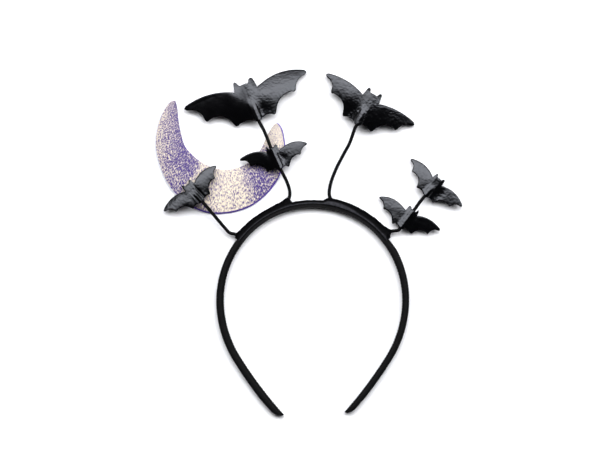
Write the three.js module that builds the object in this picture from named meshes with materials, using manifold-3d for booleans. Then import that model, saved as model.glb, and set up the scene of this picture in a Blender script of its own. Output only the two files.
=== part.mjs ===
// Bat headband, lying as it is put down on a table.
// Millimetres: X runs across the band, Y from its tips to its crown, and Z up from the table.
import * as THREE from "three";
import { mergeVertices } from "three/addons/utils/BufferGeometryUtils.js";
import Module from "manifold-3d";

// Driving dimensions
const GAP = 0.3; // between pieces that lie on each other
const BAND_DEPTH = 6; // satin band, measured along Z
const RIBBON = 1; // wall of the ribbon over the crown
const WIRE_RADIUS = 1; // thread-covered wire
const BAT_SHEET = 1; // one sheet of leather cloth
const MOON_SHEET = 2; // padded foil sheet
const CROWN_INNER = 68.3; // inner edge of the crown above the band's widest line

const { clamp, degToRad, lerp, smoothstep } = THREE.MathUtils;

// A column of a table, read between the rows on either side of a place.
function between(rows, place, column) {
  const found = rows.findIndex((row) => row.at >= place);
  const next = found < 0 ? rows.length - 1 : Math.max(found, 1);
  const low = rows[next - 1];
  const high = rows[next];
  const share = clamp((place - low.at) / (high.at - low.at), 0, 1);
  return lerp(low[column], high[column], share);
}

// Evenly spaced values from one end to the other.
function spread(from, to, steps) {
  return Array.from({ length: steps + 1 }, (_, step) => lerp(from, to, step / steps));
}

// A closed skin over rings of equal length. A ring's first half faces its second half, so each end is
// closed by a strip between the two, and both halves are split along facing diagonals.
function loft(rings) {
  const size = rings[0].length;
  const last = (rings.length - 1) * size;
  const index = [];
  for (let start = 0; start < last; start += size) {
    for (let side = 0; side < size; side++) {
      const a = start + side;
      const b = start + ((side + 1) % size);
      const isFirstHalf = side < size / 2;
      index.push(a, b, isFirstHalf ? a + size : b + size);
      index.push(a + size, isFirstHalf ? b : a, b + size);
    }
  }
  for (let a = 0; a < size / 2 - 1; a++) {
    const b = a + 1;
    const c = size - 2 - a;
    const d = size - 1 - a;
    index.push(a, c, b, a, d, c);
    index.push(last + a, last + b, last + c, last + a, last + c, last + d);
  }
  const points = rings.flat();
  const geometry = new THREE.BufferGeometry().setFromPoints(points);
  geometry.setIndex(signedVolume(points, index) < 0 ? index.reverse() : index);
  return geometry;
}

// Volume inside triangles, negative where they face inwards.
function signedVolume(points, index) {
  let total = 0;
  for (let i = 0; i < index.length; i += 3) {
    const [a, b, c] = [points[index[i]], points[index[i + 1]], points[index[i + 2]]];
    total += a.dot(b.clone().cross(c)) / 6;
  }
  return total;
}

// Headband
// The inner edge is a chain of arcs from the crown down one side, mirrored for the other side.
const BAND_ARCS = [
  { radius: 63.2, turn: 48.4 },
  { radius: 69.3, turn: 46 },
  { radius: 77.8, turn: 27.4 },
  { radius: 300, turn: 10.2 },
];
const HALF_BAND = BAND_ARCS.reduce((sum, arc) => sum + arc.radius * degToRad(arc.turn), 0);

// Point and outward direction on the inner edge, at a distance from the crown, negative to the left.
function innerEdge(distance) {
  const side = Math.sign(distance) || 1;
  const point = new THREE.Vector2(0, CROWN_INNER);
  let heading = 0;
  let length = Math.abs(distance);
  for (const { radius, turn } of BAND_ARCS) {
    const angle = Math.min(length / radius, degToRad(turn));
    point.x += side * radius * (Math.sin(heading + angle) - Math.sin(heading));
    point.y += radius * (Math.cos(heading + angle) - Math.cos(heading));
    heading += angle;
    length -= angle * radius;
  }
  const outward = new THREE.Vector2(side * Math.sin(heading), Math.cos(heading));
  return { point, outward };
}

// A place beside the band: along it from the crown, out from its inner edge, and up from the table.
function besideBand(along, out, up) {
  const { point, outward } = innerEdge(along);
  return new THREE.Vector3(point.x + outward.x * out, point.y + outward.y * out, up);
}

// Thickness and depth of the band, at shares of its half length from the crown.
const BAND_ROWS = [
  { at: -1, thick: 1.8, depth: 3 },
  { at: -0.985, thick: 4.2, depth: 5.2 },
  { at: -0.965, thick: 5.6, depth: BAND_DEPTH },
  { at: -0.9, thick: 6.1, depth: BAND_DEPTH },
  { at: -0.6, thick: 5.7, depth: BAND_DEPTH },
  { at: -0.31, thick: 5.4, depth: BAND_DEPTH },
  { at: -0.26, thick: 3.9, depth: BAND_DEPTH },
  { at: -0.1, thick: 3.9, depth: BAND_DEPTH },
  { at: -0.06, thick: 4.3, depth: BAND_DEPTH },
  { at: 0.03, thick: 4.3, depth: BAND_DEPTH },
  { at: 0.06, thick: 4.9, depth: BAND_DEPTH },
  { at: 0.29, thick: 4.9, depth: BAND_DEPTH },
  { at: 0.34, thick: 5.8, depth: BAND_DEPTH },
  { at: 0.5, thick: 5.2, depth: BAND_DEPTH },
  { at: 0.9, thick: 5, depth: BAND_DEPTH },
  { at: 0.955, thick: 4.6, depth: BAND_DEPTH },
  { at: 0.973, thick: 3.6, depth: 4.8 },
  { at: 0.986, thick: 1.8, depth: 3 },
];
const BAND_SIDES = 12;
const BAND_STEPS = 52;
const TIP_SHARES = [0.012, 0.022, 0.029, 0.034]; // the last stations of an arm, past the even ones
const LEFT_EVEN_SHARE = -0.966;
const RIGHT_EVEN_SHARE = 0.952; // the right arm is a little shorter

// The ribbon under the crown lifts the band there, and the arms run down from it to the tips.
const WRAP_START = -59.5;
const WRAP_END = 59.2;
const CROWN_LIFT = RIBBON + GAP;
const CROWN_MIDDLE = CROWN_LIFT + BAND_DEPTH / 2;

function bandMiddle(along) {
  const armStart = Math.min(-WRAP_START, WRAP_END);
  const down = clamp((Math.abs(along) - armStart) / (HALF_BAND - armStart), 0, 1);
  return lerp(CROWN_MIDDLE, BAND_DEPTH / 2, down);
}

function makeHeadband() {
  const leftTip = TIP_SHARES.map((share) => LEFT_EVEN_SHARE - share).reverse();
  const rightTip = TIP_SHARES.map((share) => RIGHT_EVEN_SHARE + share);
  const shares = [...leftTip, ...spread(LEFT_EVEN_SHARE, RIGHT_EVEN_SHARE, BAND_STEPS), ...rightTip];
  const halfSide = Math.PI / BAND_SIDES;
  const rings = shares.map((share) => {
    const along = share * HALF_BAND;
    const halfThick = between(BAND_ROWS, share, "thick") / 2;
    const halfDepth = between(BAND_ROWS, share, "depth") / 2;
    return spread(0, BAND_SIDES - 1, BAND_SIDES - 1).map((side) => {
      const angle = (2 * side + 1) * halfSide;
      const out = halfThick * (1 + Math.cos(angle) / Math.cos(halfSide));
      return besideBand(along, out, bandMiddle(along) + (halfDepth * Math.sin(angle)) / Math.cos(halfSide));
    });
  });
  return loft(rings);
}

// Bats
// One die cuts every bat: half of its outline, in shares of the wing's span and of the length from tail
// to head. Each edge starts at the foot of the ridge. Bow is how far an arc rises towards the head from
// its chord, as a share of the chord. The row without a length takes its wing's finger, and the row
// without a bow takes its wing's lead.
const TRAILING_EDGE = [
  { point: "inner finger", span: 0.308, length: 0.034, bow: 0.14, steps: 6 },
  { point: "outer finger", span: 0.721, bow: 0.19, steps: 4 },
  { point: "below the tip", span: 0.97, length: 0.745, bow: 0.17, steps: 3 },
  { point: "tip", span: 1, length: 0.79, bow: 0, steps: 1 },
];
const LEADING_EDGE = [
  { point: "inside of the ear", span: 0.112, length: 1.06, bow: -0.12, steps: 1 },
  { point: "outside of the ear", span: 0.16, length: 1.05, bow: 0.4, steps: 2 },
  { point: "notch", span: 0.153, length: 0.8, bow: 0, steps: 1 },
  { point: "above the tip", span: 0.975, length: 0.86, steps: 9 },
  { point: "tip", span: 1, length: 0.81, bow: 0, steps: 1 },
];
const TRAILING_START = 0.02; // share of the length where the trailing edge leaves the ridge
const LEADING_START = 0.985; // share of the length where the head is cut off between the ears
const LEAN_START = 0.05; // share of the span where the outline starts to lean from the ridge
const LEAN_FULL = 0.3; // share of the span where it leans fully
const CHORD_STEPS = 3;

// Both sheets stand off the wire between them like low roofs, steepest at the crest.
const RIDGE_SIDE = 0.9; // half width of the strip along the crest
const RIDGE_FOOT = 2; // half width of the body, where the edges of the wings start
const RIDGE_REACH = 0.26; // how far the roof runs out on either side, as a share of the bat's length
const RIDGE_BEND = 1.5; // how fast the roof levels off on its way out
const RIDGE_SLACK = 0.2; // room between the roof and the wire, beyond the gap
const RIDGE_RISE = WIRE_RADIUS + GAP / 2 + RIDGE_SLACK;
const WIRE_END = 0.25; // share of the length where the wire stops in the last bat on a stalk
const RIDGE_END = 0.3; // share of the length where the ridge starts to run out
const RIDGE_GONE = 0.66; // share of the length where it has its height at the head

// Tail, heading from +Y towards +X, and height of the wire at the tail with its rise to the head.
// headRidge is the share of the ridge that is left at the head, and droop is how far the head hangs.
// A wing sweeps towards the head as it runs out, falls to its tip, has a valley beside the ridge, and is
// twisted by a slope that lowers its leading edge. Lead is the bow of that edge, and finger is where its
// outer finger ends, as a share of the length.
const BATS = {
  big_left: {
    x: -39.1, y: 131.2, heading: -23, length: 29.4, height: 8.2, rise: 0.6, headRidge: 0, droop: 1,
    left: { span: 48, sweep: 0.12, lead: 0.1, finger: 0.35, fall: 6, valley: 0.3, twist: -0.19 },
    right: { span: 45.2, sweep: -0.08, lead: 0.125, finger: 0.42, fall: 5.2, valley: 1, twist: 0.13 },
  },
  big_right: {
    x: 31.5, y: 128, heading: 29, length: 26.1, height: 10.2, rise: 1.6, headRidge: 0, droop: 1,
    left: { span: 37.5, sweep: 0.03, lead: 0.085, finger: 0.42, fall: 8.4, valley: 1, twist: 0.07 },
    right: { span: 36.4, sweep: 0, lead: 0.075, finger: 0.41, fall: 9.2, valley: 0.4, twist: -0.12 },
  },
  small_left: {
    x: -80.1, y: 72.7, heading: -42, length: 17.1, height: 8.4, rise: 0.8, headRidge: 0, droop: 2.8,
    left: { span: 25.5, sweep: 0, lead: 0.135, finger: 0.42, fall: 3.2, valley: 0.3, twist: 0.13 },
    right: { span: 24.7, sweep: -0.04, lead: 0.15, finger: 0.42, fall: 2.6, valley: 0.8, twist: -0.03 },
  },
  small_centre: {
    x: -23.4, y: 96.3, heading: -24.5, length: 17, height: 8, rise: 0.4, headRidge: 1, droop: 0,
    left: { span: 26, sweep: 0.18, lead: 0.115, finger: 0.42, fall: 2.6, valley: 0.2, twist: -0.19 },
    right: { span: 25.1, sweep: -0.18, lead: 0.145, finger: 0.42, fall: 3.2, valley: 0.6, twist: 0.1 },
  },
  small_right_upper: {
    x: 81.1, y: 76.9, heading: 40, length: 16.8, height: 6.6, rise: 0.6, headRidge: 0, droop: 0.2,
    left: { span: 25.3, sweep: 0.03, lead: 0.135, finger: 0.42, fall: 4, valley: 0.2, twist: 0.1 },
    right: { span: 25.3, sweep: -0.08, lead: 0.135, finger: 0.42, fall: 0.8, valley: 1.2, twist: 0.06 },
  },
  small_right_lower: {
    x: 63.2, y: 53.6, heading: 37.5, length: 16.4, height: 5.6, rise: 0.6, headRidge: 1, droop: 0,
    left: { span: 25.5, sweep: -0.17, lead: 0.14, finger: 0.42, fall: 3, valley: 0.5, twist: 0.1 },
    right: { span: 25.2, sweep: 0.13, lead: 0.12, finger: 0.38, fall: 3.2, valley: 0.2, twist: -0.16 },
  },
};
const FALL_STRAIGHT = 0.6; // share of a wing's fall that is straight, the rest grows with the square
const WING_DOME = 0.035; // how far the edges of a wing curl down, as a share of the bat's length
const DOME_START = 0.25; // share of the span where the curl and the twist are full
const VALLEY_PLACE = 0.12; // share of the span where the valley is deepest
const VALLEY_END = 0.35; // share of the length where the valley starts to run out
const VALLEY_GONE = 0.8; // share of the length where it has run out

// Place of a point on a bat: out across its axis, along it from the tail, and up from the table.
function onBat(bat, across, along, up) {
  const heading = degToRad(bat.heading);
  const x = bat.x + along * Math.sin(heading) + across * Math.cos(heading);
  const y = bat.y + along * Math.cos(heading) - across * Math.sin(heading);
  return new THREE.Vector3(x, y, up);
}

function wireHeight(bat, along) {
  return bat.height + (bat.rise * along) / bat.length;
}

// One edge of a wing, from the foot of the ridge to the tip. Wings that sweep opposite ways turn the
// outline on the wire, so the edge also leans sideways, away from the ridge.
function wingEdge(bat, side, rows, startLength) {
  const wing = bat[side < 0 ? "left" : "right"];
  const lean = (side * (bat.left.sweep - bat.right.sweep)) / 2;
  let from = new THREE.Vector2(RIDGE_FOOT, startLength * bat.length);
  const edge = [from.clone()];
  for (const row of rows) {
    const out = row.span * wing.span;
    const to = new THREE.Vector2(out, (row.length ?? wing.finger) * bat.length + out * wing.sweep);
    const chord = to.clone().sub(from);
    const bow = Math.sign(chord.x) * (row.bow ?? wing.lead);
    const rise = new THREE.Vector2(-chord.y, chord.x).multiplyScalar(bow);
    for (const share of spread(0, 1, row.steps).slice(1)) {
      const onChord = from.clone().addScaledVector(chord, share);
      edge.push(onChord.addScaledVector(rise, 4 * share * (1 - share)));
    }
    from = to;
  }
  return edge.map(({ x, y }) => {
    const shift = lean * (y - bat.length / 2) * smoothstep(x / wing.span, LEAN_START, LEAN_FULL);
    return new THREE.Vector2(x + shift, y);
  });
}

// Height of the glue plane between a bat's two sheets.
function gluePlane(bat, wing, across, along) {
  const out = Math.max(across - RIDGE_FOOT, 0) / wing.span;
  const fall = wing.fall * lerp(out * out, out, FALL_STRAIGHT);
  const valleyLeft = 1 - smoothstep(along / bat.length, VALLEY_END, VALLEY_GONE);
  const valley = wing.valley * valleyLeft * (out / VALLEY_PLACE) * Math.exp(1 - out / VALLEY_PLACE);
  const fromMiddle = along - bat.length / 2;
  const curl = (4 * WING_DOME * fromMiddle * fromMiddle) / bat.length + wing.twist * fromMiddle;
  const pastWire = clamp((along / bat.length - WIRE_END) / (1 - WIRE_END), 0, 1);
  const drop = fall + valley + curl * smoothstep(out, 0, DOME_START) + bat.droop * pastWire * pastWire;
  return wireHeight(bat, along) - drop;
}

// How far each sheet stands off the glue plane, over or under the wire.
function ridge(bat, across, along) {
  const slope = Math.max(1 - across / (RIDGE_REACH * bat.length), 0) ** RIDGE_BEND;
  const pastEnd = smoothstep(along / bat.length, RIDGE_END, RIDGE_GONE);
  return RIDGE_RISE * slope * lerp(1, bat.headRidge, pastEnd);
}

// A sheet of one bat, as chords from tip to tip. The front one lies over the wire, the back one under it.
function makeBatSheet(bat, isFront) {
  const onRidge = (along) => [0, RIDGE_SIDE].map((across) => new THREE.Vector2(across, along));
  const halves = [["left", -1], ["right", 1]].map(([name, side]) => {
    const wing = bat[name];
    const trailing = [...onRidge(0), ...wingEdge(bat, side, TRAILING_EDGE, TRAILING_START)];
    const head = onRidge(LEADING_START * bat.length);
    const leading = [...head, ...wingEdge(bat, side, LEADING_EDGE, LEADING_START)];
    return trailing.map((start, i) => {
      const chord = spread(0, 1, CHORD_STEPS).map((share) => start.clone().lerp(leading[i], share));
      const skin = (thickness) => chord.map((point) => {
        const base = gluePlane(bat, wing, point.x, point.y);
        const apart = GAP / 2 + ridge(bat, point.x, point.y);
        const low = isFront ? apart : -apart - BAT_SHEET;
        return onBat(bat, side * point.x, point.y, base + low + thickness);
      });
      return [...skin(BAT_SHEET), ...skin(0).reverse()];
    });
  });
  const [left, right] = halves;
  return loft([...right.reverse(), ...left.slice(1)]);
}

// Wires
// Each wire is one length: a stalk, a base along the outside of the crown, and another stalk.
const WIRE_SIDES = 8;
const WIRE_STEP = 3;
const LEFT_BASE_OUT = 5.2; // middle of the wire from the band's inner edge
const RIGHT_BASE_OUT = 6.2;

// The wire runs straight along a bat's axis, between shares of its length.
function alongBat(name, shares) {
  const bat = BATS[name];
  return shares.map((share) => {
    const along = share * bat.length;
    return onBat(bat, 0, along, wireHeight(bat, along));
  });
}

const points = (rows) => rows.map(([x, y, z]) => new THREE.Vector3(x, y, z));
const alongCrown = (rows) => rows.map(([along, out]) => besideBand(along, out, CROWN_MIDDLE));

const LEFT_ROUTE = [
  ...alongBat("small_left", [WIRE_END, 0, -0.12]),
  ...points([[-75.4, 67.3, 7.7], [-69, 59.7, 6.4], [-64.6, 54.5, 5.3], [-60.7, 50.4, 4.5]]),
  ...alongCrown([[-57.8, 9.4], [-56.2, 6.6], [-54, 5.4], [-50, LEFT_BASE_OUT], [-42, LEFT_BASE_OUT]]),
  ...alongCrown([[-34, LEFT_BASE_OUT], [-27, LEFT_BASE_OUT], [-21.5, 5.4], [-17.8, 6.4], [-15.6, 8.8]]),
  ...points([[-16.8, 78.4, 4.5], [-17.3, 82.4, 5.1], [-19.6, 88.6, 6.5]]),
  ...alongBat("small_centre", [-0.12, 0, 0.3, 0.7, 1, 1.12]),
  ...points([[-33.4, 119.4, 8.4], [-36, 125.2, 8.3]]),
  ...alongBat("big_left", [-0.06, 0, WIRE_END]),
];
const RIGHT_ROUTE = [
  ...alongBat("big_right", [WIRE_END, 0, -0.08]),
  ...points([[26.2, 114.6, 8.6], [22.4, 107.6, 7.6], [18.4, 100, 6.6], [15.4, 93.4, 5.8]]),
  ...points([[12.8, 86, 5], [11.8, 79.6, 4.5]]),
  ...alongCrown([[10.8, 8.9], [12.6, 7.2], [15.6, 6.4], [21, RIGHT_BASE_OUT], [28, RIGHT_BASE_OUT]]),
  ...alongCrown([[35, RIGHT_BASE_OUT], [42, RIGHT_BASE_OUT], [49, 6.3], [53, 7.1], [55.5, 9.2]]),
  ...points([[59.3, 51.7, 4.7]]),
  ...alongBat("small_right_lower", [-0.1, 0, 0.3, 0.7, 1, 1.12]),
  ...points([[77.4, 72.4, 6.4]]),
  ...alongBat("small_right_upper", [-0.12, 0, WIRE_END]),
];

function makeWire(route, radius) {
  const path = new THREE.CatmullRomCurve3(route);
  const section = new THREE.Shape(
    spread(0, WIRE_SIDES - 1, WIRE_SIDES - 1).map((side) => {
      const angle = (2 * Math.PI * side) / WIRE_SIDES;
      return new THREE.Vector2(radius * Math.cos(angle), radius * Math.sin(angle));
    }),
  );
  const steps = Math.round(path.getLength() / WIRE_STEP);
  return new THREE.ExtrudeGeometry(section, { steps, extrudePath: path, bevelEnabled: false });
}

// Crown wrap
// Outer edge of the folded ribbon from the band's inner edge, at places along the crown.
// It stands out like a tent where a stalk leaves.
const WRAP_ROWS = [
  { at: WRAP_START, out: 6.8 },
  { at: -56.5, out: 8.6 },
  { at: -53, out: 7.8 },
  { at: -30, out: 7.6 },
  { at: -22, out: 8.2 },
  { at: -18, out: 9.6 },
  { at: -15.8, out: 10.2 },
  { at: -13.8, out: 5.9 },
  { at: 6.5, out: 5.9 },
  { at: 9.8, out: 8.2 },
  { at: 15, out: 8.5 },
  { at: 31, out: 8.5 },
  { at: 50, out: 8.8 },
  { at: 54, out: 10 },
  { at: 56, out: 11.2 },
  { at: 57.6, out: 8 },
  { at: WRAP_END, out: 6.8 },
];
const FRONT_EDGE = 3.2; // the ribbon's front edge from the band's inner edge
const BACK_EDGE = 1; // its back edge, which lies flat under the band
const RIBBON_SLACK = 0.3; // room between the ribbon's front and the band, beyond the gap
const WRAP_STEPS = 24;
const WRAP_SPACING = 0.8; // closest that two stations lie
const FOLD_STEPS = 3;

// One section of the ribbon: its outer or inner line from the front edge, round the fold, to the back edge.
function wrapLine(along, outer) {
  const fold = between(WRAP_ROWS, along, "out") - FRONT_EDGE - (outer ? 0 : RIBBON);
  const thick = between(BAND_ROWS, along / HALF_BAND, "thick");
  const fromBand = (2 * FRONT_EDGE) / thick - 1;
  const bandRise = (BAND_DEPTH / 2) * Math.sqrt(Math.max(1 - fromBand * fromBand, 0));
  const front = bandRise + GAP + RIBBON_SLACK + (outer ? RIBBON : 0);
  const back = BAND_DEPTH / 2 + GAP + (outer ? RIBBON : 0);
  const round = spread(Math.PI / 2, -Math.PI / 2, 2 * FOLD_STEPS).map((angle) => {
    const depth = angle > 0 ? front : back;
    const out = FRONT_EDGE + fold * Math.cos(angle);
    return besideBand(along, out, CROWN_MIDDLE + depth * Math.sin(angle));
  });
  return [...round, besideBand(along, BACK_EDGE, CROWN_MIDDLE - back)];
}

function makeCrownWrap(wasm) {
  const rowPlaces = WRAP_ROWS.map((row) => row.at);
  const isClear = (place) => rowPlaces.every((row) => Math.abs(row - place) > WRAP_SPACING);
  const evenPlaces = spread(WRAP_START, WRAP_END, WRAP_STEPS).filter(isClear);
  const places = [...rowPlaces, ...evenPlaces].sort((a, b) => a - b);
  const ribbon = loft(places.map((along) => [...wrapLine(along, true), ...wrapLine(along, false).reverse()]));
  const holes = [LEFT_ROUTE, RIGHT_ROUTE].map((route) => solid(wasm, makeWire(route, WIRE_RADIUS + GAP)));
  const cut = holes.reduce((wrap, hole) => wrap.subtract(hole), solid(wasm, ribbon));
  const [largest] = cut.decompose().sort((a, b) => b.volume() - a.volume());
  return skinOf(largest);
}

// A closed geometry as a solid for cutting, and a cut solid as a geometry.
function solid(wasm, geometry) {
  const bare = new THREE.BufferGeometry().setAttribute("position", geometry.getAttribute("position"));
  const merged = mergeVertices(bare.setIndex(geometry.getIndex()));
  const vertProperties = new Float32Array(merged.getAttribute("position").array);
  const triVerts = new Uint32Array(merged.getIndex().array);
  return new wasm.Manifold(new wasm.Mesh({ numProp: 3, vertProperties, triVerts }));
}

function skinOf(cut) {
  const { vertProperties, triVerts } = cut.getMesh();
  const geometry = new THREE.BufferGeometry();
  geometry.setAttribute("position", new THREE.BufferAttribute(vertProperties, 3));
  return geometry.setIndex(new THREE.BufferAttribute(triVerts, 1));
}

// Moon
// Both edges of the crescent round the middle of its outer circle, by turn from +Y towards -X.
const MOON_MIDDLE = { x: -67.9, y: 113.3 };
const MOON_ROWS = [
  { turn: 44.5, inner: 45.6, outer: 47.6 },
  { turn: 48, inner: 41.6, outer: 49 },
  { turn: 56, inner: 36.4, outer: 49 },
  { turn: 70, inner: 30.2, outer: 48.2 },
  { turn: 90, inner: 25.2, outer: 47.2 },
  { turn: 115, inner: 19.6, outer: 46.6 },
  { turn: 138, inner: 17, outer: 48 },
  { turn: 170, inner: 16.4, outer: 49.3 },
  { turn: 205, inner: 18.5, outer: 49.2 },
  { turn: 237, inner: 23.6, outer: 48.8 },
  { turn: 263, inner: 29.3, outer: 47.9 },
  { turn: 284, inner: 36.3, outer: 47.3 },
  { turn: 290.5, inner: 41.1, outer: 46.1 },
  { turn: 292, inner: 43.4, outer: 45.2 },
];
const MOON_STEPS = 3; // stations from one row to the next
const MOON_WIDTH_STEPS = 3;
const MOON_DOME = 0.8; // how far the edges curve down from the middle line

function makeMoon() {
  const edge = (column) => {
    const rows = MOON_ROWS.map((row) => {
      const turn = degToRad(row.turn);
      const fromMiddle = new THREE.Vector2(-Math.sin(turn), Math.cos(turn)).multiplyScalar(row[column]);
      return fromMiddle.add(MOON_MIDDLE);
    });
    return new THREE.SplineCurve(rows).getPoints(MOON_STEPS * (rows.length - 1));
  };
  const outer = edge("outer");
  const rings = edge("inner").map((inner, i) => {
    const skin = (thickness) => spread(0, 1, MOON_WIDTH_STEPS).map((share) => {
      const { x, y } = inner.clone().lerp(outer[i], share);
      const fromMiddle = 2 * share - 1;
      return new THREE.Vector3(x, y, thickness + MOON_DOME * (1 - fromMiddle * fromMiddle));
    });
    return [...skin(MOON_SHEET), ...skin(0).reverse()];
  });
  return loft(rings);
}

// Materials
const SATIN = { color: 0x121113, roughness: 0.5, metalness: 0 };
const RIBBON_CLOTH = { color: 0x0d0c0e, roughness: 0.6, metalness: 0 };
const THREAD = { color: 0x151416, roughness: 0.55, metalness: 0 };
const LEATHER_CLOTH = { color: 0x1a1a1d, roughness: 0.45, metalness: 0 };
const FOIL = { color: 0xb0a3c4, roughness: 0.35, metalness: 0.3 };

// Assembly
const wasm = await Module();
wasm.setup();

const headpiece = new THREE.Group();
function add(name, geometry, look) {
  const mesh = new THREE.Mesh(geometry, new THREE.MeshStandardMaterial(look));
  mesh.name = name;
  headpiece.add(mesh);
}

add("headband", makeHeadband(), SATIN);
add("crown_wrap", makeCrownWrap(wasm), RIBBON_CLOTH);
add("wire_left", makeWire(LEFT_ROUTE, WIRE_RADIUS), THREAD);
add("wire_right", makeWire(RIGHT_ROUTE, WIRE_RADIUS), THREAD);
for (const [name, bat] of Object.entries(BATS)) {
  add(`${name}_front`, makeBatSheet(bat, true), LEATHER_CLOTH);
  add(`${name}_back`, makeBatSheet(bat, false), LEATHER_CLOTH);
}
add("moon", makeMoon(), FOIL);

// The origin is under the middle of the whole piece, on the table.
const box = new THREE.Box3().setFromObject(headpiece);
const middle = box.getCenter(new THREE.Vector3());
headpiece.position.set(-middle.x, -middle.y, -box.min.z);

export default headpiece;
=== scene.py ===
# Bat headband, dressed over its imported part. Sizes are in millimetres from the middle of the band's
# widest line, as in the part's source, and become metres in the part's frame when a mesh is made.
import bpy
import numpy as np
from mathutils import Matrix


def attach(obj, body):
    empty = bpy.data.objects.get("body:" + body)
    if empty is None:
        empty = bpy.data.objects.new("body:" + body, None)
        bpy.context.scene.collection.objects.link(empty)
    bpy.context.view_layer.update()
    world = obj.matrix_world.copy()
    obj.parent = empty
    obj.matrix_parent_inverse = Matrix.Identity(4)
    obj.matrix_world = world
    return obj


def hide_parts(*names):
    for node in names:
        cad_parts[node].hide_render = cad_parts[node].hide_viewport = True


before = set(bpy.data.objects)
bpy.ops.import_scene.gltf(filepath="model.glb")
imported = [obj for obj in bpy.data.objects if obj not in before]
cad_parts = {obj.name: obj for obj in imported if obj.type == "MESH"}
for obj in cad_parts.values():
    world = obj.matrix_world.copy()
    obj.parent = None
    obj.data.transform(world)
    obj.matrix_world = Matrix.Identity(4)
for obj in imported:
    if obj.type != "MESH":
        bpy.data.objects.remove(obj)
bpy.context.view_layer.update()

# Headband
# A springy arch in a sleeve of black satin, which runs from tip to tip.
# The sleeve is pulled tight, so it shows fine ribs across the band and small puckers on the inside.
MM = 0.001
TURN = 2 * np.pi
FRAME_ORIGIN = np.array([-3.4567, 42.9359, 0.0])
# Top of the band's inner edge, and radius and turn of its arcs from there to a tip.
CROWN_INNER = 68.3
ARC_RADII = np.array([63.2, 69.3, 77.8, 300.0])
ARC_TURNS = np.radians([48.4, 46.0, 27.4, 10.2])
HALF_BAND = float((ARC_RADII * ARC_TURNS).sum())
BAND_DEPTH = 6.0
# Height of the band's middle at the crown and at the tips, and where along the band it starts to sink.
CROWN_MIDDLE = 4.3
TIP_MIDDLE = 3.0
ARM_START = 59.2
# Share of the half length from the crown, thickness, depth.
BAND_ROWS = np.array([
    (-1.0, 0.9, 1.6), (-0.996, 2.3, 3.6), (-0.985, 4.2, 5.2), (-0.965, 5.6, 6.0), (-0.9, 6.1, 6.0),
    (-0.6, 5.7, 6.0), (-0.31, 5.4, 6.0), (-0.26, 3.9, 6.0), (-0.1, 3.9, 6.0), (-0.06, 4.3, 6.0),
    (0.03, 4.3, 6.0), (0.06, 4.9, 6.0), (0.29, 4.9, 6.0), (0.34, 5.8, 6.0), (0.5, 5.2, 6.0),
    (0.9, 5.0, 6.0), (0.955, 4.6, 6.0), (0.973, 3.6, 4.8), (0.983, 2.2, 3.4), (0.986, 0.9, 1.6),
])
BAND_STATIONS = 1000
# Further stations on the rounded tips, as shares of the half length.
TIP_STATIONS = np.array([-0.9985, -0.9975, -0.995, 0.9845, 0.9855])
# Sides and squareness of the section, and the length round it.
BAND_SIDES = 28
BAND_SQUARENESS = 0.78
BAND_ROUND = np.pi * 5.6
# Puckers drift to and fro along the band, and are higher on its inside.
PUCKER_PITCH = 2.1
PUCKER_HEIGHT = 0.09
PUCKER_DRIFT = 2.0
PUCKER_DRIFT_LENGTH = 9.0
PUCKER_MEAN = 0.6
PUCKER_LEAN = 0.4
# Painted sheen: how pale the satin's colour is made on top of the arms, and in a strip beside the ribbon
# at the crown, as painted highlights.
ARM_PAINTED_SHEEN = 0.3
ARM_PAINTED_SHEEN_POWER = 5
CROWN_PAINTED_SHEEN = 0.75
STRIP_MIDDLE = 1.2
STRIP_WIDTH = 0.75
CROWN_STRIP_END = 62.0
CROWN_STRIP_FADE = 6.0


def inner_edge(along):
    """Points and outward directions on the band's inner edge. Arcs follow one another from the crown,
    each turning by the length it takes up over its radius, and negative lengths run to the left."""
    side = np.where(along < 0, -1.0, 1.0)
    starts = np.concatenate([[0.0], np.cumsum(ARC_RADII * ARC_TURNS)[:-1]])
    turned = np.clip((np.abs(along)[..., None] - starts) / ARC_RADII, 0, ARC_TURNS)
    after = np.cumsum(turned, axis=-1)
    before = after - turned
    x = side * (ARC_RADII * (np.sin(after) - np.sin(before))).sum(-1)
    y = CROWN_INNER + (ARC_RADII * (np.cos(after) - np.cos(before))).sum(-1)
    outward = np.stack([side * np.sin(after[..., -1]), np.cos(after[..., -1])], axis=-1)
    return np.stack([x, y], axis=-1), outward


def beside_band(along, out, up):
    """Points at a length along the band's inner edge, a distance out from it, and a height."""
    along, out, up = np.broadcast_arrays(along, out, up)
    point, outward = inner_edge(along)
    return np.concatenate([point + outward * out[..., None], up[..., None]], axis=-1)


def ripples(points, pitch, seed, count=7):
    """A smooth uneven field about zero: the sum of a few sine waves over the square root of their
    number. Their directions are seeded, and their lengths are from 0.6 to 1.6 times the pitch."""
    rng = np.random.default_rng(seed)
    turn = rng.uniform(0, TURN, count)
    wave = TURN / (pitch * rng.uniform(0.6, 1.6, count))
    phase = rng.uniform(0, TURN, count)
    reach = points[..., :1] * (wave * np.cos(turn)) + points[..., 1:2] * (wave * np.sin(turn))
    return np.sin(reach + phase).sum(-1) / np.sqrt(count)


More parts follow.
